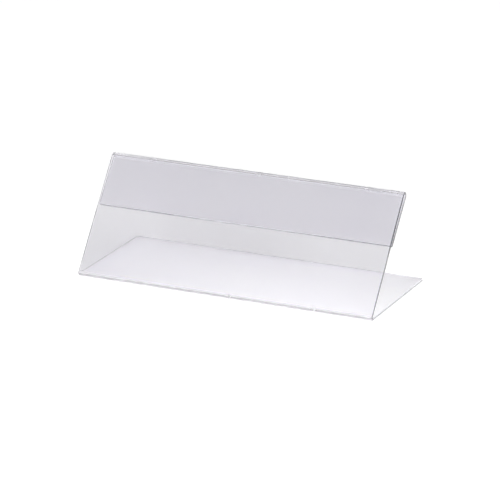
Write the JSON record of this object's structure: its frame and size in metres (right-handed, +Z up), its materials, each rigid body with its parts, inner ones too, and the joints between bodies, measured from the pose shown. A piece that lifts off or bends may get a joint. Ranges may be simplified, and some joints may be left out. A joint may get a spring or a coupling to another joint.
{
  "type": "l-shaped sign holder",
  "caption": "Clear plastic table sign holder bent from one sheet: flat base, leaning sign panel and a fold-over flap behind the panel that holds a card against it.",
  "frame": {"origin": "on the table, at the middle of the footprint", "axes": "+X along the width, to the right as a reader faces the sign; +Y from the front bend to the rear edge of the base; +Z up"},
  "size_m": [0.15, 0.0623, 0.0506],
  "materials": {
    "clear_sheet": "clear gloss"
  },
  "bodies": {
    "base": {"base_plate": "clear_sheet", "front_bend": "clear_sheet"},
    "panel": {"sign_panel": "clear_sheet", "top_fold_front": "clear_sheet", "top_fold_rear": "clear_sheet"},
    "flap": {"rear_flap": "clear_sheet"}
  },
  "joints": [
    {"name": "panel_flex", "type": "hinge", "parent": "base", "child": "panel", "pos_m": [0, -0.02965, 0.0015], "axis": [1, 0, 0], "range_deg": [-6, 6], "stiffness_Nm_per_rad": 1.5},
    {"name": "flap_flex", "type": "hinge", "parent": "panel", "child": "flap", "pos_m": [0, 0.00641, 0.04869], "axis": [1, 0, 0], "range_deg": [-1, 10], "stiffness_Nm_per_rad": 0.2}
  ]
}
